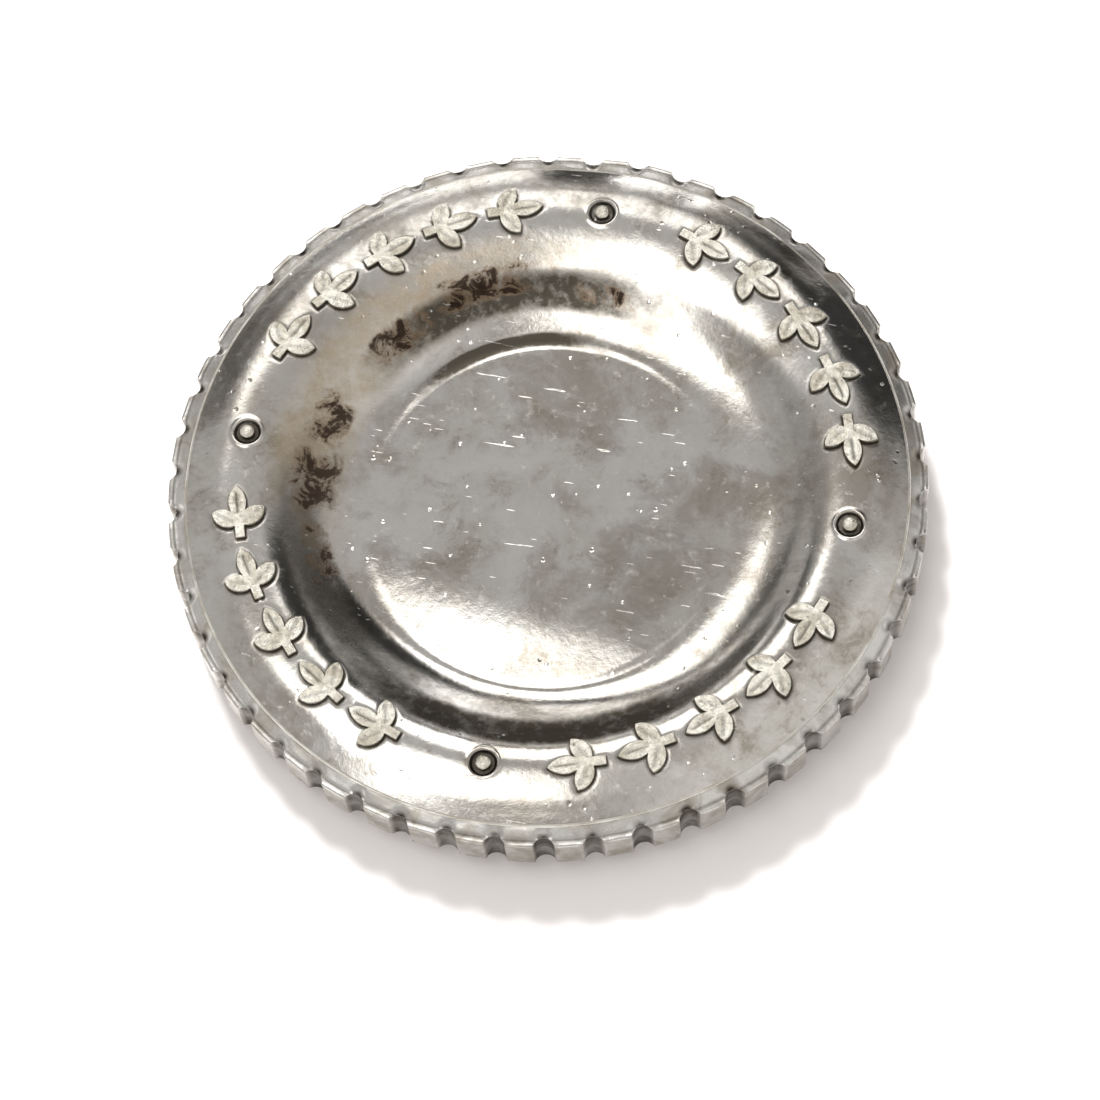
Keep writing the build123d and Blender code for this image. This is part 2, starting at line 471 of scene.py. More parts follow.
def frosted_figure_silver(f, c):
    """Raised figures: pale, frosted by a fine grain, and darker down their sides, with tarnish and painted
    shade.
    """
    where = f.place()
    grain = f.cloud(where, 7000.0, 5.0, 0.7)
    patches = f.cloud(where, 1400.0)
    corner = f.attribute("tarnish")
    colour = f.blend(patches.between(0.36, 0.66), FROST_PALE, FROST_DULL)
    colour = f.blend((grain.between(0.52, 0.64) * 0.5).clamped(), colour, FROST_GRAIN)
    # Darker down the sides: tarnish, and painted shade at the figures' feet.
    colour = f.blend((corner + (grain - 0.5) * corner).clamped(), colour, c.tarnish)
    f.metal(colour, 0.14 + grain * 0.22, f.bump(grain * 1.3 + patches * 0.8, 1.0, FROST_RELIEF))


def dull_solder(f, _):
    """Dull grey solder."""
    patches = f.cloud(f.place(), 1100.0, 7.0, 0.65)
    colour = f.blend(patches.between(0.35, 0.7), SOLDER_PALE, SOLDER_DULL)
    f.metal(colour, 0.30 + patches * 0.2, f.bump(patches, 0.5, RELIEF))


def finish(paint):
    """The material that a painting function makes, made once and named after it."""
    owner = bpy.data.materials.get(paint.__name__)
    if owner is None:
        owner = bpy.data.materials.new(paint.__name__)
        paint(Finish(owner), colours())
    return owner


# ------------------------ raised figures
FIGURES_PER_GROUP = 5
FIGURE_FIRST = math.radians(21.5)
FIGURE_PITCH = math.radians(12.9)
QUARTERS = 4
FIGURE_SUNK = 0.06 * MM      # how far the figures' undersides reach into the sheet
FIGURE_GRID = 0.065 * MM     # spacing of the cuts that let their tops follow the border
GRID_START = 0.011 * MM      # keeps the cuts off the figures' own edges
FIGURE_EDGE = 0.03 * MM      # rounding along their tops
FIGURE_STRAY = 0.05          # how far one may stand off its place, in mm, and turn, in radians
RUBBED = ((0.35 * MM, 2, 0.026 * MM), (0.14 * MM, 5, 0.016 * MM))   # wavelength, seed, depth of wear
RIB_DEPTH = 0.045 * MM       # of the line down the middle of a leaf


def figure_angles():
    for group in range(QUARTERS):
        for place in range(FIGURES_PER_GROUP):
            yield TAU / QUARTERS * group - FIGURE_FIRST - FIGURE_PITCH * place


def leaf_prism(root, angle, length, width, height):
    """A pointed leaf of two arcs, raised to a height."""
    bm = bmesh.new()
    half, bulge = length / 2, width / 2
    radius = (half ** 2 + bulge ** 2) / (2 * bulge)
    sweep = 2 * math.asin(half / radius)
    tip = bm.verts.new((0, 0, 0))
    for side in (1, -1):
        tip = spun_tip(bm, tip, (half, side * (bulge - radius), 0), (0, 0, 1), -sweep, LEAF_STEPS)
    bmesh.ops.remove_doubles(bm, verts=bm.verts, dist=FIGURE_WELD)
    return raise_outline(bm, Matrix.Translation(root) @ Matrix.Rotation(angle, 4, "Z"), height)


def raise_faces(bm, height):
    """Raise flat faces into a closed prism."""
    raised = bmesh.ops.extrude_face_region(bm, geom=bm.faces[:])["geom"]
    tops = [g for g in raised if isinstance(g, bmesh.types.BMVert)]
    bmesh.ops.translate(bm, verts=tops, vec=(0, 0, height))
    bmesh.ops.recalc_face_normals(bm, faces=bm.faces)


def raise_outline(bm, matrix, height):
    """Fill a closed outline and raise it into a prism."""
    bmesh.ops.contextual_create(bm, geom=bm.edges)
    raise_faces(bm, height)
    bmesh.ops.transform(bm, matrix=matrix, verts=bm.verts)
    return bm


def joined(prisms):
    """Join overlapping prisms into one clean shape."""
    helpers = [new_object(bm, f"prism_{index}") for index, bm in enumerate(prisms)]
    for tool in helpers[1:]:
        union = helpers[0].modifiers.new("join", "BOOLEAN")
        union.operation = "UNION"
        union.solver = "EXACT"
        union.object = tool
    shape = helpers[0].evaluated_get(bpy.context.evaluated_depsgraph_get())
    bm = bmesh.new()
    bm.from_mesh(shape.to_mesh())
    for helper in helpers:
        mesh = helper.data
        bpy.data.objects.remove(helper)
        bpy.data.meshes.remove(mesh)
    return bm


def trim_and_cut(bm, reach):
    """Round the upper edges a little and cut the shape into a fine grid."""
    bmesh.ops.remove_doubles(bm, verts=bm.verts, dist=FIGURE_WELD)
    bmesh.ops.dissolve_limit(bm, angle_limit=math.radians(1), verts=bm.verts, edges=bm.edges)
    rims = [
        e for e in bm.edges
        if len(e.link_faces) == 2 and sum(f.normal.z > 0.9 for f in e.link_faces) == 1
    ]
    bmesh.ops.bevel(
        bm, geom=rims, offset=FIGURE_EDGE, segments=2, profile=0.5, affect="EDGES", material=-1,
        clamp_overlap=True)
    lines = int(reach / FIGURE_GRID)
    for step in range(-lines, lines + 1):
        for direction in ((1, 0, 0), (0, 1, 0)):
            bmesh.ops.bisect_plane(
                bm, geom=bm.verts[:] + bm.edges[:] + bm.faces[:], dist=CUT_SNAP,
                plane_co=Vector(direction) * (step * FIGURE_GRID + GRID_START), plane_no=direction)


SPRIG_LENGTH, SPRIG_SPAN, SPRIG_STEM = 1.90 * MM, 1.75 * MM, 0.30 * MM
LEAF_WIDTH, LEAF_ANGLE, LEAF_STEPS = 0.58 * MM, math.radians(58), 9


def sprig_leaves():
    """Root, angle and length of each leaf of a sprig."""
    side = SPRIG_SPAN / 2 / math.sin(LEAF_ANGLE)
    yield (-SPRIG_STEM, 0, 0), 0.0, SPRIG_LENGTH / 2 + SPRIG_STEM
    for angle in (LEAF_ANGLE, -LEAF_ANGLE):
        yield (-SPRIG_LENGTH / 4, 0, 0), angle, side


def sprig_shape(height):
    """A stem with one leaf at its tip and one on each side."""
    prisms = [leaf_prism(*leaf, LEAF_WIDTH, height) for leaf in sprig_leaves()]
    stem = bmesh.new()
    bmesh.ops.create_grid(stem, x_segments=1, y_segments=1, size=0.5)
    bmesh.ops.scale(stem, verts=stem.verts, vec=(SPRIG_LENGTH / 2, SPRIG_STEM, 1))
    bmesh.ops.delete(stem, geom=stem.faces[:], context="FACES_ONLY")
    prisms.append(raise_outline(stem, Matrix.Translation((-SPRIG_LENGTH / 4, 0, 0)), height))
    bm = joined(prisms)
    trim_and_cut(bm, SPRIG_LENGTH / 2)
    return bm


def midrib(x, y):
    """How near a point of a sprig lies to a leaf's middle line, from 0 to 1."""
    nearest = 0.0
    for root, angle, length in sprig_leaves():
        away = Vector((x - root[0], y - root[1])) @ Matrix.Rotation(angle, 2)
        if 0.18 * length < away.x < 0.86 * length:
            nearest = max(nearest, 1 - smooth_step(abs(away.y), 0.01 * MM, 0.06 * MM))
    return nearest


LOZENGE_LENGTH, LOZENGE_SPAN, LOZENGE_STROKE = 1.70 * MM, 1.75 * MM, 0.34 * MM
LOZENGE_CORNER = 0.05 * MM


def lozenge_shape(height):
    """An open lozenge: two loops of four corners, bridged and raised."""
    half_length, half_span = LOZENGE_LENGTH / 2, LOZENGE_SPAN / 2
    inner = 1 - LOZENGE_STROKE / math.sin(math.atan(half_span / half_length)) / half_length
    bm = bmesh.new()
    for share in (1.0, inner):
        loop = bmesh.ops.create_circle(bm, cap_ends=False, segments=4, radius=1.0)["verts"]
        bmesh.ops.scale(bm, verts=loop, vec=(half_length * share, half_span * share, 1))
    bmesh.ops.bridge_loops(bm, edges=bm.edges)
    raise_faces(bm, height)
    corners = [e for e in bm.edges if abs((e.verts[0].co - e.verts[1].co).z) > height / 2]
    bmesh.ops.bevel(
        bm, geom=corners, offset=LOZENGE_CORNER, segments=3, profile=0.5, affect="EDGES", material=-1)
    trim_and_cut(bm, LOZENGE_SPAN / 2)
    return bm


def raise_figures(name, shape, node, obverse, groove=lambda x, y: 0.0):
    """Stand a copy of one figure at each place, fitted to the border below it."""
    curve, rise = BorderCurve(), sizes().figure_rise
    height = rise + FIGURE_SUNK
    pattern = bpy.data.meshes.new("figure_pattern")
    single = shape(height)
    single.to_mesh(pattern)
    single.free()
    bm = bmesh.new()
    darkness = bm.verts.layers.float.new("tarnish")
    rng = random.Random(11 if obverse else 12)
    for angle in figure_angles():
        start = len(bm.verts)
        bm.from_mesh(pattern)
        bm.verts.ensure_lookup_table()
        place = (
            Matrix.Rotation(angle, 4, "Z")
            @ Matrix.Translation(
                (sizes().crest_radius + rng.uniform(-FIGURE_STRAY, FIGURE_STRAY) * MM, 0, 0))
            @ Matrix.Rotation(-math.pi / 2 + rng.uniform(-FIGURE_STRAY, FIGURE_STRAY), 4, "Z")
        )
        for vert in bm.verts[start:]:
            share, line = vert.co.z / height, groove(vert.co.x, vert.co.y)
            vert.co = place @ vert.co
            border = curve.height(flat_radius(vert.co))
            bottom, top = border - FIGURE_SUNK, min(border + rise, FIGURE_TOP)
            if share > 0.5:
                for length, seed, depth in RUBBED:
                    top -= (0.5 + 0.5 * ripple(vert.co, length, seed)) * depth
                top -= line * RIB_DEPTH
            vert.co.z = bottom + (top - bottom) * share
            # Darker towards each figure's foot and along the leaf ribs: tarnish, and painted shade.
            vert[darkness] = max(1 - smooth_step(share, 0.45, 0.98), 0.35 * line)
    bpy.data.meshes.remove(pattern)
    bmesh.ops.recalc_face_normals(bm, faces=bm.faces)
    make_piece(
        bm, name, frosted_figure_silver, node, settle(obverse), sharp=50)


class MARKER_OT_sprigs(bpy.types.Operator):
    """Raise the sprigs of the obverse"""

    bl_idname = "marker.sprigs"
    bl_label = "Sprigs"

    def execute(self, context):
        raise_figures("obverse_sprig_relief", sprig_shape, "obverse_sprigs", True, midrib)
        return {"FINISHED"}


class MARKER_OT_lozenges(bpy.types.Operator):
    """Raise the open lozenges of the reverse"""

    bl_idname = "marker.lozenges"
    bl_label = "Lozenges"

    def execute(self, context):
        raise_figures("reverse_lozenge_relief", lozenge_shape, "reverse_lozenges", False)
        return {"FINISHED"}


# ------------------------ pellets
SEAT_RADIUS, SEAT_DEPTH, PELLET_RADIUS = 0.46 * MM, 0.13 * MM, 0.27 * MM
PELLET_SUNK = 0.02 * MM      # how far its foot reaches into the sheet
PELLET_SHORT = 0.01 * MM     # rubbed off its top


def seat_centres():
    for quarter in range(QUARTERS):
        angle = TAU / QUARTERS * quarter
        yield Vector((math.cos(angle), math.sin(angle), 0)) * sizes().crest_radius


def make_pellets(name, node, obverse):
    """Small worn beads, each sunk in its seat."""
    bm = bmesh.new()
    darkness = bm.verts.layers.float.new("tarnish")
    foot = CREST_HEIGHT - SEAT_DEPTH - PELLET_SUNK
    tall = PELLET_TOP - PELLET_SHORT - foot
    for index, centre in enumerate(seat_centres()):
        bead = bmesh.ops.create_uvsphere(bm, u_segments=28, v_segments=18, radius=1.0)["verts"]
        for vert in bead:
            share = (vert.co.z + 1) / 2
            swell = 1 + 0.10 * ripple(vert.co, 0.9, index)
            vert.co = Vector((vert.co.x, vert.co.y, 0)) * (PELLET_RADIUS * 0.93 * swell) + centre
            vert.co.z = foot + tall * min(share * 1.04, 1) * (0.97 + 0.03 * swell / 1.1)
            # Darker towards the foot of each bead: tarnish, and painted shade under it.
            vert[darkness] = 0.9 - 0.9 * smooth_step(share, 0.2, 0.6)
    make_piece(
        bm, name, frosted_figure_silver, node, settle(obverse), sharp=60)


class MARKER_OT_pellets(bpy.types.Operator):
    """Set the pellets of both faces"""

    bl_idname = "marker.pellets"
    bl_label = "Pellets"

    def execute(self, context):
        make_pellets("obverse_beads", "obverse_pellets", True)
        make_pellets("reverse_beads", "reverse_pellets", False)
        return {"FINISHED"}


# ------------------------ faces
def dish_section(bm):
    """The closed section of a face, from the middle of its floor out and back."""
    s, curve = sizes(), BorderCurve()
    edge = curve.height(SKIRT_RADIUS)
    section = Section(bm, 0, curve.floor_height)
    section.run(s.floor_radius * 0.86, 12)
    section.run(s.floor_radius * 0.14, 8)
    section.bend(curve.cove, curve.well_slope, 34)
    section.bend(curve.inner, -curve.well_slope, 10)
    section.bend(curve.outer, -s.skirt_slope, 8)
    section.reach(SKIRT_RADIUS, edge, 4)
    section.reach(SKIRT_RADIUS, edge - curve.upright, 2)
    section.heading = math.pi - s.skirt_slope
    section.run(s.skirt_width / math.cos(s.skirt_slope) - s.sheet * math.tan(s.skirt_slope), 2)
    section.bend(curve.outer - s.sheet, s.skirt_slope, 4)
    section.bend(curve.inner - s.sheet, curve.well_slope, 5)
    section.bend(curve.cove + s.sheet, -curve.well_slope, 6)
    section.reach(0, curve.floor_height - s.sheet, 3)


def is_upper(vert, curve):
    """True on the shown side of the sheet."""
    return vert.co.z > curve.height(flat_radius(vert.co)) - 0.05 * MM


def refine(bm, chosen, cuts):
    """Cut the edges among the chosen vertices more finely."""
    near = {v for v in bm.verts if chosen(v)}
    edges = [e for e in bm.edges if e.verts[0] in near and e.verts[1] in near]
    bmesh.ops.subdivide_edges(bm, edges=edges, cuts=cuts, use_grid_fill=True)


# middle and half-width in degrees, radius and half-depth in mm, and strength of each patch
STAIN_ARCS = (                           # the dark stains in the well
    (188, 11, 7.75, 1.00, 1.0),
    (171, 9, 7.75, 0.80, 0.95),
    (117, 17, 7.85, 0.65, 0.95),
    (143, 13, 7.60, 0.65, 0.75),
    (208, 12, 7.90, 0.60, 0.55),
    (84, 12, 7.40, 0.45, 0.45),
)
WARM_ARC = (155, 75, 8.0, 1.7, 1.0)      # the broad brown film that the stains lie in
DIRT_AND_SHADE_ARCS = (                            # darker patches: along the furrow; on the wall, tarnish, two of them with painted dark reflections; dirt on the border and the floor
    # a darker crescent along the far side of the furrow
    (118, 48, 5.68, 0.36, 1.0),
    # far wall: tarnish, and a painted dark reflection that dims the highlight there
    (112, 56, 7.35, 0.88, 0.80),
    (112, 70, 10.95, 0.80, 0.38),
    # near wall: tarnish, and a painted dark reflection of the room
    (-82, 62, 8.85, 0.75, 0.80),
    (-150, 40, 8.3, 0.9, 0.5),
    (20, 40, 9.0, 1.0, 0.3),
    (-30, 40, 4.60, 1.90, 0.22),
)


def degrees_from(x, y, middle):
    """How far round a point lies from an angle, in degrees either way."""
    return (math.degrees(math.atan2(y, x)) - middle + 180) % 360 - 180


def arc_share(x, y, arc):
    """How deep a point lies in an arc-shaped patch, from 0 to 1."""
    middle, half_width, ring, half_depth, strength = arc
    apart = abs(degrees_from(x, y, middle))
    aside = abs(math.hypot(x, y) / MM - ring)
    return strength * (1 - smooth_step(apart, half_width * 0.3, half_width)) * (
        1 - smooth_step(aside, half_depth * 0.45, half_depth))


PLATEAU_RADIUS = 6.10 * MM   # the well floor is a slight plateau with a shallow furrow round it
FURROW_DEPTH, FURROW_WIDTH = 0.045 * MM, 0.34 * MM
FURROW_FADES = math.radians(18.6)         # on the obverse it is shallow along this line
WELL_SHIFT = Vector((0.24, -0.71)) * MM   # the obverse's well was struck a little off the centre
SHIFT_FADES = 7.6 * MM, 10.4 * MM         # between these radii the shift dies out
FLOOR_LEAN = Vector((-0.20, -0.98))       # the way in which the obverse's floor was beaten down
LEAN_DEPTH = 0.22 * MM
LEAN_STARTS, LEAN_FADES = (3.1 * MM, 7.0 * MM), (6.9 * MM, 8.4 * MM)
KNOCK_REACH = 10.9 * MM, 12.3 * MM        # a knock deepens from the first radius to the second
KNOCKS = (                   # angle, half-width in degrees and depth of each knock on the edge
    (95, 7, 0.15 * MM),
    (78, 4, 0.07 * MM),
    (52, 5, 0.06 * MM),
    (318, 6, 0.06 * MM),
    (200, 5, 0.05 * MM),
)


def knock(x, y, obverse):
    """How far an old knock has pushed the obverse's edge down."""
    if not obverse:
        return 0.0
    return smooth_step(math.hypot(x, y), *KNOCK_REACH) * sum(
        depth * math.exp(-(degrees_from(x, y, middle) / half) ** 2)
        for middle, half, depth in KNOCKS)


def struck_height(x, y, curve, obverse):
    """Height of the worked sheet, with its furrow and, on the obverse, the well off centre."""
    radius = math.hypot(x, y)
    lean, furrow = 0.0, FURROW_DEPTH
    if obverse:
        furrow *= 0.15 + 0.85 * math.sin(math.atan2(y, x) - FURROW_FADES) ** 2
        fade = 1 - smooth_step(radius, *SHIFT_FADES)
        x, y = x - WELL_SHIFT.x * fade, y - WELL_SHIFT.y * fade
        along = x * FLOOR_LEAN.x + y * FLOOR_LEAN.y
        lean = LEAN_DEPTH * smooth_step(along, *LEAN_STARTS) * (1 - smooth_step(radius, *LEAN_FADES))
        radius = math.hypot(x, y)
    past = max(radius - PLATEAU_RADIUS, 0) / FURROW_WIDTH
    return curve.height(radius) - furrow * past * math.exp(1 - past) - lean - knock(x, y, obverse)


SWELLS = ((4.6 * MM, 1.1), (1.7 * MM, 0.33), (0.7 * MM, 0.09))   # wavelength and share of each
FIGURE_BAND = 9.05 * MM, 11.3 * MM        # cut finely, for the figures' outlines
SEAT_REACH = 0.62 * MM                    # cut more finely still, for the seats
EDGE_HELD = 0.6 * MM                      # the skirt's edge stays true over this width
SETTING_DEPTH, SETTING_WIDTH = 0.018 * MM, 0.07 * MM      # the sheet dips beside each figure
GRIME_AND_SHADE_WIDTH = 0.085 * MM                  # and is darker there, with grime and painted shade
LIP_HEIGHT, LIP_OUT, LIP_WIDTH = 0.018 * MM, 0.06 * MM, 0.05 * MM   # thrown up round each seat
FROST_STARTS = 8.6 * MM, 9.8 * MM         # the border is frosted from here out
WALL_MIDDLE, WALL_SPREAD = 8.3 * MM, 1.0 * MM             # where the well's wall is dull


def bell(value, width):
    """1 at zero, falling smoothly to nothing."""
    return math.exp(-(value / width) ** 2)


def dish_face(name, node, relief, obverse):
    """A dished face, unevenly worked, with pellet seats, and tarnish and painted shade round the figures.
    """
    s, curve = sizes(), BorderCurve()
    bm = bmesh.new()
    dish_section(bm)
    turn_round(bm, 300)
    inner, outer = FIGURE_BAND
    refine(bm, lambda v: inner < flat_radius(v.co) < outer and is_upper(v, curve), 2)
    centres = list(seat_centres())
    refine(bm, lambda v: is_upper(v, curve) and any(
        flat_radius(v.co - centre) < SEAT_REACH for centre in centres), 1)
    darkness, stained, warm, frosted = (
        bm.verts.layers.float.new(layer) for layer in ("tarnish", "stain", "warmth", "frost"))
    figures = bpy.data.objects[relief]
    reach = BVHTree.FromPolygons(
        [settle(obverse).inverted() @ v.co for v in figures.data.vertices],
        [p.vertices[:] for p in figures.data.polygons])
    seed = 1 if obverse else 4
    for vert in bm.verts:
        if not is_upper(vert, curve):
            continue
        place, radius = vert.co.copy(), flat_radius(vert.co)
        free = 1 - smooth_step(radius, SKIRT_RADIUS - EDGE_HELD, SKIRT_RADIUS)
        wave = sum(
            ripple(place, length, seed + count) * share
            for count, (length, share) in enumerate(SWELLS))
        drop = s.unevenness * (wave - 0.9) * free
        dark = 0.0
        if abs(radius - s.crest_radius) < 1.5 * MM:
            place.z = curve.height(radius)
            gap = reach.find_nearest(place)[3]
            drop -= SETTING_DEPTH * bell(gap, SETTING_WIDTH)
            # Darker beside the figures: grime, and painted shade where they meet the sheet.
            dark = 0.95 * bell(gap, GRIME_AND_SHADE_WIDTH)
        for centre in centres:
            out = flat_radius(place - centre) - SEAT_RADIUS
            if out < 0.34 * MM:
                drop -= SEAT_DEPTH * (1 - smooth_step(out, -0.10 * MM, 0.02 * MM))
                drop += LIP_HEIGHT * bell(out - LIP_OUT, LIP_WIDTH)
                # Darker inside the seat: tarnish, and painted shade round the bead.
                dark = max(dark, 0.8 - 0.8 * smooth_step(out, -0.08 * MM, 0.04 * MM))
        dull = bell(radius - WALL_MIDDLE, WALL_SPREAD) * (0.6 + 0.4 * ripple(place, 2.2 * MM, 9))
        dark = max(dark, 0.30 * dull)
        vert.co.z = min(struck_height(place.x, place.y, curve, obverse) + drop, FIGURE_TOP)
        vert[darkness] = dark
        cloudy = 0.75 + 0.25 * ripple(place, 2.6 * MM, 13)
        vert[frosted] = smooth_step(radius, *FROST_STARTS) * cloudy
        if obverse:
            vert[darkness] = max(dark, *(arc_share(place.x, place.y, arc) for arc in DIRT_AND_SHADE_ARCS))
            vert[stained] = max(arc_share(place.x, place.y, arc) for arc in STAIN_ARCS)
            vert[warm] = arc_share(place.x, place.y, WARM_ARC)
    bmesh.ops.recalc_face_normals(bm, faces=bm.faces)
    make_piece(bm, name, worn_sheet_silver, node, settle(obverse))


class MARKER_OT_faces(bpy.types.Operator):
    """Dish both faces and work the seats, tarnish and painted shade into them"""

    bl_idname = "marker.faces"
    bl_label = "Faces"

    def execute(self, context):
        dish_face("obverse_dish", "obverse_face", "obverse_sprig_relief", True)
        dish_face("reverse_dish", "reverse_face", "reverse_lozenge_relief", False)
        return {"FINISHED"}


# ------------------------ rim
COLUMNS_PER_FLUTE = 20
FLUTE_COLUMNS = 12           # of those, the ones that lie in the groove
BORE_INSET = 0.55 * MM       # width of the ledge under the skirt
LAND_RADIUS = RIM_RADIUS - 0.05 * MM      # where the top of a land turns over
STEP_RADIUS, STEP_WIDTH, STEP_DEPTH = 12.52 * MM, 0.055 * MM, 0.03 * MM   # fine line along it
LIP_SPREAD, LIP_RISE = 0.07 * MM, 0.035 * MM              # metal thrown up round each flute
POCKET_DEPTH, POCKET_SPAN, POCKET_RUN = 0.11 * MM, 0.24 * MM, 0.17 * MM   # hollow at its head
LAND_WEAR = 0.018 * MM


def rim_section(bm):
    """The closed section of the rim, with the top of each land turned over at its edge."""
    curve = BorderCurve()
    bore, land = SKIRT_RADIUS - BORE_INSET, LAND_RADIUS
    section = Section(bm, bore, 0)
    for side in (1, -1):
        profile = (
            (bore, curve.height(bore) - curve.upright, 2),
            (WALL_RADIUS, curve.height(WALL_RADIUS) - curve.upright, 2),
            (WALL_RADIUS, curve.height(WALL_RADIUS), 2),
            (land, curve.height(land), 11),
            (RIM_RADIUS - 0.012 * MM, curve.height(land) - 0.02 * MM, 1),
            (RIM_RADIUS, curve.height(land) - 0.06 * MM, 1),
            (RIM_RADIUS, 0, 8),
        )
        if side < 0:
            places, counts = reversed(profile[:-1]), reversed(profile)
            profile = [(x, -z, steps) for (x, z, _), (_, _, steps) in zip(places, counts)]
            profile.append((bore, 0, 2))
        for x, z, steps in profile:
            section.reach(x, z, steps)
    bmesh.ops.remove_doubles(bm, verts=bm.verts, dist=WELD)


def flute_rim():
    """Spin the rim and press the flutes into it, each a little different."""
    s, curve = sizes(), BorderCurve()
    bm = bmesh.new()
    rim_section(bm)
    turn_round(bm, s.flutes * COLUMNS_PER_FLUTE)
    darkness = bm.verts.layers.float.new("tarnish")
    rng = random.Random(5)
    quirks = [
        (rng.uniform(0.82, 1.12), rng.uniform(-0.05, 0.05), rng.uniform(0.6, 1.3))
        for _ in range(s.flutes)
    ]
    pitch = TAU / s.flutes
    half_chord = math.sqrt(s.flute_radius ** 2 - (s.flute_radius - s.flute_depth) ** 2)
    half_flute = half_chord / RIM_RADIUS / pitch
    flute_share = FLUTE_COLUMNS / COLUMNS_PER_FLUTE / 2
    for vert in bm.verts:
        radius = flat_radius(vert.co)
        angle = math.atan2(vert.co.y, vert.co.x)
        index = round(angle / pitch)
        share = angle / pitch - index
        size, slant, lip_share = quirks[index % s.flutes]
        if abs(share) <= flute_share:
            share *= half_flute / flute_share
        else:
            past = (abs(share) - flute_share) / (0.5 - flute_share)
            share = math.copysign(half_flute + past * (0.5 - half_flute), share)
        angle = (index + share) * pitch
        if radius > WALL_RADIUS + 0.02 * MM:
            across = share * pitch * RIM_RADIUS
            axis = RIM_RADIUS + s.flute_radius - s.flute_depth * size
            within = s.flute_radius ** 2 - across ** 2
            groove = axis - math.sqrt(within) if within > 0 else RIM_RADIUS
            upright = abs(vert.co.z) < curve.height(LAND_RADIUS) - 0.03 * MM
            place = vert.co.copy()
            if radius > groove:
                # Darker deeper in the groove: tarnish, and painted shade.
                sunk = smooth_step(radius - groove, 0.02 * MM, 0.16 * MM)
                vert[darkness] = 0.25 + 0.65 * sunk * (0.55 + 0.45 * abs(vert.co.z) / (0.8 * MM))
                radius = groove
            else:
                away = math.hypot(radius - axis, across) - s.flute_radius
                if upright:
                    radius -= LAND_WEAR * (1 + ripple(place, 0.8 * MM, 3))
                    vert[darkness] = 0.10
                else:
                    step = bell(radius - STEP_RADIUS, STEP_WIDTH)
                    pocket = bell(across, POCKET_SPAN) * bell(away, POCKET_RUN)
                    swell = bell(away, LIP_SPREAD) * lip_share * LIP_RISE
                    swell -= STEP_DEPTH * step * (1 + slant) + POCKET_DEPTH * pocket * size
                    swell += 0.012 * MM * ripple(place, 0.5 * MM, 6)
                    vert.co.z += math.copysign(1, vert.co.z) * swell
                    # Darker in the fine line and the hollow at the flute's head: tarnish, and painted
                    # shade.
                    vert[darkness] = max(
                        0.6 * step, 0.9 * pocket, 0.06 + 0.10 * ripple(place, 0.9 * MM, 8))
        else:
            # The wall under the skirt is darker: tarnish, and painted shade between the parts.
            vert[darkness] = 0.35
        vert.co.x, vert.co.y = radius * math.cos(angle), radius * math.sin(angle)
        if vert.co.z > 0:
            vert.co.z -= knock(vert.co.x, vert.co.y, True) * min(vert.co.z / (0.8 * MM), 1)
    bmesh.ops.recalc_face_normals(bm, faces=bm.faces)
    make_piece(
        bm, "milled_rim", worn_rim_silver, "fluted_rim", settle(True), sharp=34)


class MARKER_OT_rim(bpy.types.Operator):
    """Turn the rim and cut its flutes"""

    bl_idname = "marker.rim"
    bl_label = "Rim"

    def execute(self, context):
        flute_rim()
        return {"FINISHED"}


# ------------------------ solder
def solder_seam(name, node, obverse):
    """The thin, slightly lumpy ring of solder between a skirt and the rim wall."""
    curve = BorderCurve()
    top_in, top_out = curve.height(SKIRT_RADIUS), curve.height(WALL_RADIUS)
    bm = bmesh.new()
    section = Section(bm, SKIRT_RADIUS, top_in - curve.upright)
    section.reach(WALL_RADIUS, top_out - curve.upright, 1)
    section.reach(WALL_RADIUS, top_out, 2)
    section.reach(SKIRT_RADIUS, top_in, 4)
    section.reach(SKIRT_RADIUS, top_in - curve.upright, 2)
    bmesh.ops.remove_doubles(bm, verts=bm.verts, dist=WELD)
    turn_round(bm, 480)
    middle, half = (SKIRT_RADIUS + WALL_RADIUS) / 2, (WALL_RADIUS - SKIRT_RADIUS) / 2
    for vert in bm.verts:
        radius = flat_radius(vert.co)
        vert.co.z -= knock(vert.co.x, vert.co.y, obverse)
        if vert.co.z > curve.height(radius) - 0.01 * MM:
            crown = 1 - ((radius - middle) / half) ** 2
            vert.co.z -= crown * (0.014 + 0.010 * ripple(vert.co, 0.7 * MM, 3)) * MM
    bmesh.ops.recalc_face_normals(bm, faces=bm.faces)
    make_piece(bm, name, dull_solder, node, settle(obverse))


def solder_film():
    """The disc of solder between the two well floors, run out unevenly at its edge."""
    bm = bmesh.new()
    section = Section(bm, 0, FILM_HALF)
    section.reach(FILM_HIGH.x - FILM_HALF, FILM_HALF, 6)
    section.bend(FILM_HALF, -math.pi, 6)
    section.reach(0, -FILM_HALF, 6)
    turn_round(bm, 180)
    for vert in bm.verts:
        if flat_radius(vert.co) > FILM_HIGH.x * 0.8:
            vert.co.xy *= 1 - 0.012 * (1 + ripple(vert.co, 2.0 * MM, 5))
    make_piece(
        bm, "well_solder_film", dull_solder, "well_solder", settle(True))


class MARKER_OT_solder(bpy.types.Operator):
    """Run the solder into both rim seams and between the floors"""

    bl_idname = "marker.solder"
    bl_label = "Solder"

    def execute(self, context):
        solder_seam("obverse_seam", "obverse_rim_solder", True)
        solder_seam("reverse_seam", "reverse_rim_solder", False)
        solder_film()
        return {"FINISHED"}


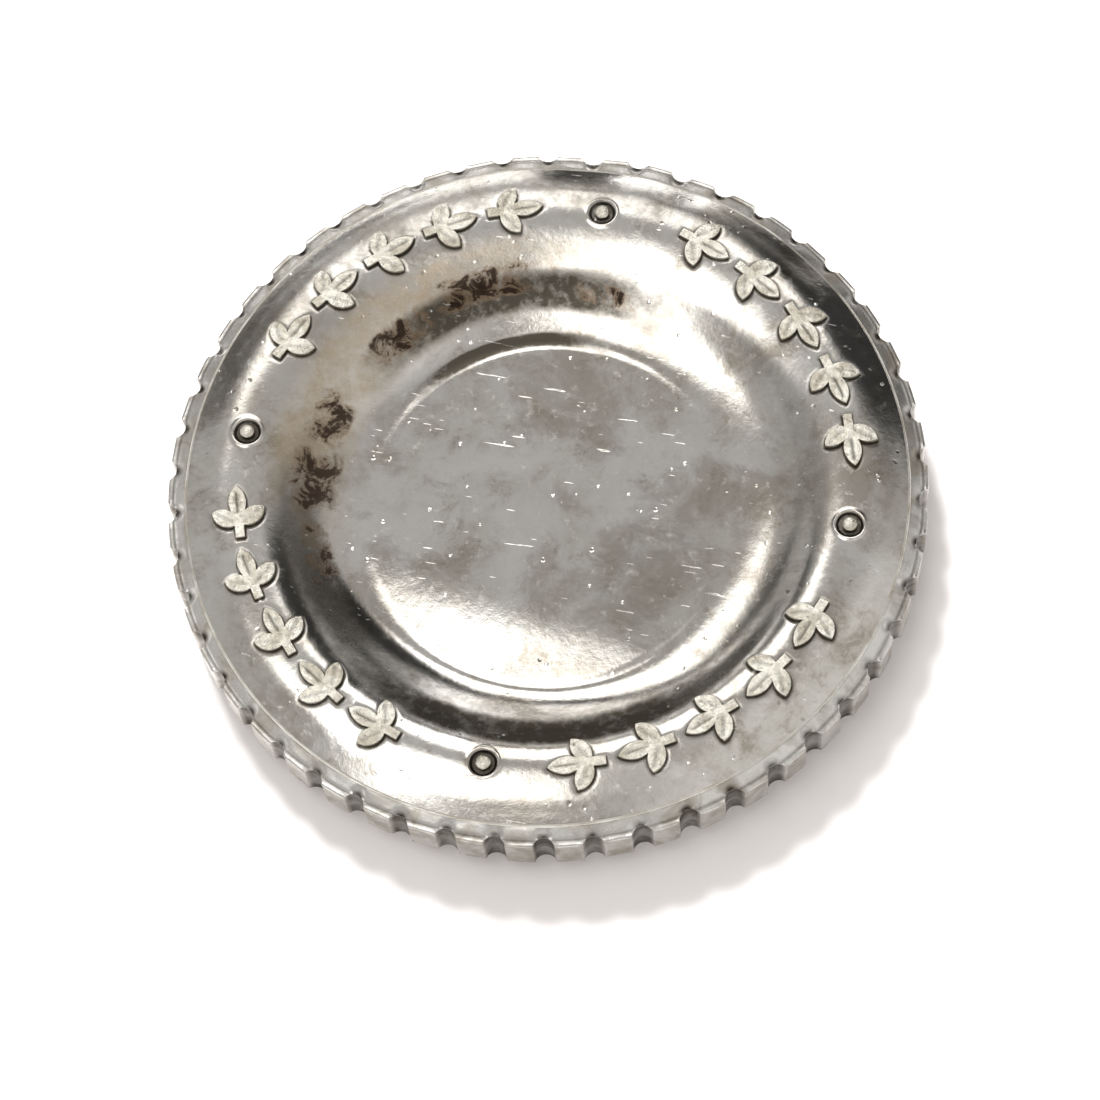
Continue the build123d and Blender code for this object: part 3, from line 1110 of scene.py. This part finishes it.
# ------------------------ studio
CAMERA_AZIMUTH = math.radians(18.6)
CAMERA_ELEVATION = math.radians(65.93)
CAMERA_ROLL = math.radians(8.18)
CAMERA_DISTANCE = 108.97 * MM
CAMERA_LENS = 106.1
CAMERA_ASIDE, CAMERA_UP = 0.08 * MM, -1.77 * MM   # moved along the view's own axes
AIM_HEIGHT = 1.32 * MM

CAMERA_CLIP = 0.005, 20
FLOOR_HALF = 3.0
FLOOR_SHADE = (0.90, 0.87, 0.86)
KEY_TOWARD = Vector((-0.37, 0.57, 0.73)).normalized()
KEY_DISTANCE, KEY_SIZE, KEY_POWER = 0.45, 0.10, 2.5
ROOM_LEVEL, ROOM_DIMS = 0.56, 0.04        # brightness low down, and how much less overhead
ROOM_TINT = (1.0, 0.985, 0.965)

# left, right, near and far edge of each level panel, per unit of its height, and its strength
LIGHT_PANELS = (
    (-0.48, -0.04, -0.24, 0.28, 2.7),
    (-0.44, 0.36, 0.66, 1.48, 2.6),
    (-1.2, 1.0, 2.2, 3.0, 1.6),
    (0.12, 1.10, -0.90, 0.20, 0.30),
    (-3.00, 3.00, -5.0, -1.30, 0.70),
    (-6.00, -1.60, -1.0, 1.50, 0.80),
    (2.00, 6.00, -1.2, 0.60, 0.70),
)
DARK_PANELS = (
    (0.42, 1.50, 0.55, 1.80, 0.93),
    (-1.10, -0.50, 1.05, 1.70, 0.75),
    (-0.60, 0.60, 1.60, 2.05, 0.80),
    (-9.0, 9.0, 3.3, 60.0, 0.85),
)


def light_studio():
    """A pale room with level panels overhead, and a lamp for the shadow."""
    scene = bpy.context.scene
    scene.view_settings.view_transform = "Standard"
    world = bpy.data.worlds.new("studio")
    scene.world = world
    f = Finish(world)
    where = f.node("TexCoord", output=0)
    up = f.node("SeparateXYZ", None, {0: where}, output=2)
    level = ROOM_LEVEL - up.between(0.15, 0.95) * ROOM_DIMS
    for *edges, strength in LIGHT_PANELS:
        level = level + panel(f, where, edges) * strength
    for *edges, strength in DARK_PANELS:
        level = level * (1 - panel(f, where, edges) * strength)
    grey = f.node("CombineXYZ", None, {0: level, 1: level, 2: level})
    warm = f.blend(1.0, ROOM_TINT, grey, "MULTIPLY")
    shown = f.blend(f.node("LightPath"), warm, colours().floor)
    background = f.node("Background", None, {"Color": shown, "Strength": 1.0})
    f.node("OutputWorld", None, {"Surface": background})

    key = bpy.data.lights.new("key", "AREA")
    key.shape, key.size, key.energy = "DISK", KEY_SIZE, KEY_POWER
    lamp = bpy.data.objects.new("key", key)
    bpy.context.collection.objects.link(lamp)
    lamp.location = KEY_TOWARD * KEY_DISTANCE
    lamp.rotation_mode = "QUATERNION"
    lamp.rotation_quaternion = KEY_TOWARD.to_track_quat("Z", "Y")
    lamp.visible_glossy = False
    lamp.visible_camera = False


def panel(f, where, edges):
    """1 inside a soft-edged level panel overhead, seen in a direction, and 0 outside it."""
    height = f.node("VectorMath", {"operation": "DOT_PRODUCT"}, {0: where, 1: (0, 0, 1)}, output=1)
    share = height.between(0.0, 0.02)
    turn = Matrix.Rotation(CAMERA_AZIMUTH, 3, "Z")
    for axis, (low, high) in ((turn.col[0], edges[:2]), (turn.col[1], edges[2:])):
        along = f.node("VectorMath", {"operation": "DOT_PRODUCT"}, {0: where, 1: axis}, output=1)
        along = f.node("Math", {"operation": "DIVIDE"}, {0: along, 1: height})
        soft = min((high - low) * 0.09, 0.12)
        share = share * along.between(low - soft, low + soft)
        share = share * (1 - along.between(high - soft, high + soft))
    return share


def pale_floor(f, c):
    """Matt, faintly uneven paper."""
    tone = f.blend(f.cloud(f.place(), 8.0, 3.0) * 0.1, c.floor, FLOOR_SHADE)
    shader = f.node("BsdfPrincipled", None, {"Base Color": tone, "Roughness": 0.9})
    f.node("OutputMaterial", None, {"Surface": shader})


def lay_floor():
    """A wide pale floor."""
    bm = bmesh.new()
    bmesh.ops.create_grid(bm, x_segments=4, y_segments=4, size=FLOOR_HALF)
    floor = new_object(bm, "studio_floor")
    floor.data.materials.append(finish(pale_floor))


def place_camera():
    """The camera, looking down steeply and rolled a little."""
    data = bpy.data.cameras.new("camera")
    data.lens, (data.clip_start, data.clip_end) = CAMERA_LENS, CAMERA_CLIP
    camera = bpy.data.objects.new("camera", data)
    bpy.context.collection.objects.link(camera)
    e, turn = CAMERA_ELEVATION, Matrix.Rotation(CAMERA_AZIMUTH, 3, "Z")
    ahead = turn @ Vector((0, math.cos(e), -math.sin(e)))
    right, up = turn @ Vector((1, 0, 0)), turn @ Vector((0, math.sin(e), math.cos(e)))
    c, s = math.cos(CAMERA_ROLL), math.sin(CAMERA_ROLL)
    side, over = right * c - up * s, right * s + up * c
    stand = Vector((0, 0, AIM_HEIGHT)) - ahead * CAMERA_DISTANCE
    stand += side * CAMERA_ASIDE + over * CAMERA_UP
    camera.matrix_world = (
        Matrix.Translation(stand) @ Matrix((side, over, -ahead)).transposed().to_4x4())
    bpy.context.scene.camera = camera


class MARKER_OT_stage(bpy.types.Operator):
    """Lay the floor, light the studio and set up the camera"""

    bl_idname = "marker.stage"
    bl_label = "Studio"

    def execute(self, context):
        lay_floor()
        light_studio()
        place_camera()
        return {"FINISHED"}


# ------------------------ panel and registration
STEPS = (
    MARKER_OT_sprigs, MARKER_OT_lozenges, MARKER_OT_pellets, MARKER_OT_faces, MARKER_OT_rim,
    MARKER_OT_solder, MARKER_OT_stage,
)


class MARKER_PT_panel(bpy.types.Panel):
    """Lists the steps that build the marker"""

    bl_idname = "MARKER_PT_panel"
    bl_label = "Ball marker"
    bl_space_type = "VIEW_3D"
    bl_region_type = "UI"
    bl_category = "Marker"

    def draw(self, context):
        for step in STEPS:
            self.layout.operator(step.bl_idname)


CLASSES = (MarkerSizes, MarkerColours, *STEPS, MARKER_PT_panel)


def register():
    for cls in CLASSES:
        bpy.utils.register_class(cls)
    bpy.types.Scene.marker_sizes = PointerProperty(type=MarkerSizes)
    bpy.types.Scene.marker_colours = PointerProperty(type=MarkerColours)


def unregister():
    del bpy.types.Scene.marker_colours
    del bpy.types.Scene.marker_sizes
    for cls in reversed(CLASSES):
        bpy.utils.unregister_class(cls)


def main():
    register()
    bpy.ops.marker.sprigs()
    bpy.ops.marker.lozenges()
    bpy.ops.marker.pellets()
    bpy.ops.marker.faces()
    bpy.ops.marker.rim()
    bpy.ops.marker.solder()
    bpy.ops.marker.stage()


if __name__ == "__main__":
    main()
